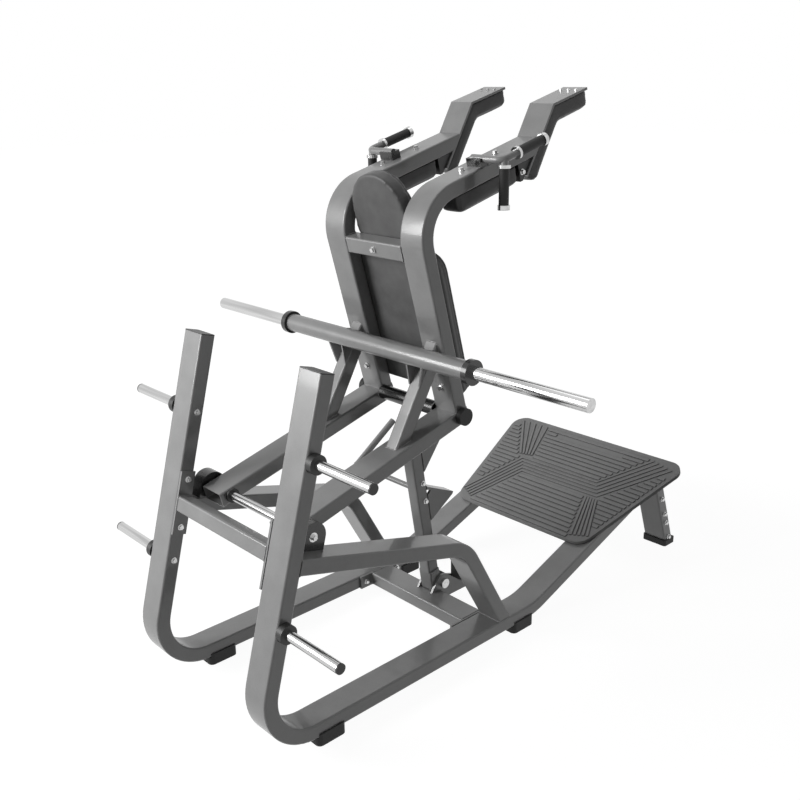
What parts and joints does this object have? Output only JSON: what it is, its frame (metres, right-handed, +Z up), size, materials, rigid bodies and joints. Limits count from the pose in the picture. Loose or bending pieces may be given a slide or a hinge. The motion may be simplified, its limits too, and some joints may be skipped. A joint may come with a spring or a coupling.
{
  "type": "lever squat machine",
  "caption": "Plate-loaded lever squat machine with a padded lever frame, inclined ribbed footplate, weight sleeves, plate storage horns and a swinging safety post.",
  "frame": {"origin": "middle of the machine on the floor, halfway between its rear and front ends", "axes": "+X across the machine, +Y forward to the footplate, +Z up"},
  "size_m": [2.086, 2.5266, 2.226],
  "materials": {
    "frame_paint": "glossy metallic powder coat",
    "chrome": "polished plating",
    "rubber": "moulded matte rubber",
    "black_plastic": "moulded satin plastic",
    "black_paint": "semi-gloss black coating",
    "upholstery": "smooth vinyl cover over foam",
    "footplate": "moulded ribbed plastic"
  },
  "bodies": {
    "frame": {"frame_tube_right": "frame_paint", "frame_tube_left": "frame_paint", "arch_brace_right": "frame_paint", "arch_brace_left": "frame_paint", "rear_beam": "frame_paint", "base_beam": "frame_paint", "front_leg_right": "frame_paint", "front_leg_left": "frame_paint", "upright_caps": "black_plastic", "storage_horns_right": "chrome", "storage_horns_left": "chrome", "horn_collars": "black_plastic", "horn_end_caps": "black_plastic", "frame_bolts": "chrome", "rail_feet": "rubber", "leg_feet": "rubber", "footplate": "footplate", "bearing_right": "black_paint", "bearing_left": "black_paint", "post_clevis": "frame_paint", "post_stop": "rubber", "post_axle": "chrome"},
    "lever": {"pivot_shaft": "chrome", "shaft_bolts": "chrome", "shaft_bushes": "black_plastic", "lever_tube_right": "frame_paint", "lever_tube_left": "frame_paint", "strut_right": "frame_paint", "strut_left": "frame_paint", "back_tube_right": "frame_paint", "back_tube_left": "frame_paint", "cross_tube": "black_paint", "upper_crossbar": "frame_paint", "sleeve_bar": "frame_paint", "sleeve_saddles": "frame_paint", "sleeve_collars": "black_paint", "weight_sleeve_right": "chrome", "weight_sleeve_left": "chrome", "sleeve_end_caps": "black_plastic", "bumpers": "rubber", "back_pad": "upholstery", "head_pad": "upholstery", "shoulder_pad_right": "upholstery", "shoulder_pad_left": "upholstery", "hook_plate_right": "frame_paint", "hook_plate_left": "frame_paint", "hook_pad_right": "upholstery", "hook_pad_left": "upholstery", "pad_blocks": "black_plastic", "handle_right": "frame_paint", "handle_left": "frame_paint", "handle_bases": "black_paint", "grips": "rubber", "grip_ends": "chrome", "lever_bolts": "chrome"},
    "post": {"safety_post": "frame_paint", "post_ledges": "frame_paint", "release_handle": "frame_paint", "post_bolts": "chrome"}
  },
  "joints": [
    {"name": "lever_swing", "type": "hinge", "parent": "frame", "child": "lever", "pos_m": [0, -0.96924, 0.78373], "axis": [-1, 0, 0], "range_deg": [0, 35]},
    {"name": "post_swing", "type": "hinge", "parent": "frame", "child": "post", "pos_m": [0, -0.0363, 0.125], "axis": [-1, 0, 0], "range_deg": [0, 63]}
  ],
  "couplings": [
    {"joint": "post_swing", "follows": "lever_swing", "ratio": 1.8}
  ]
}
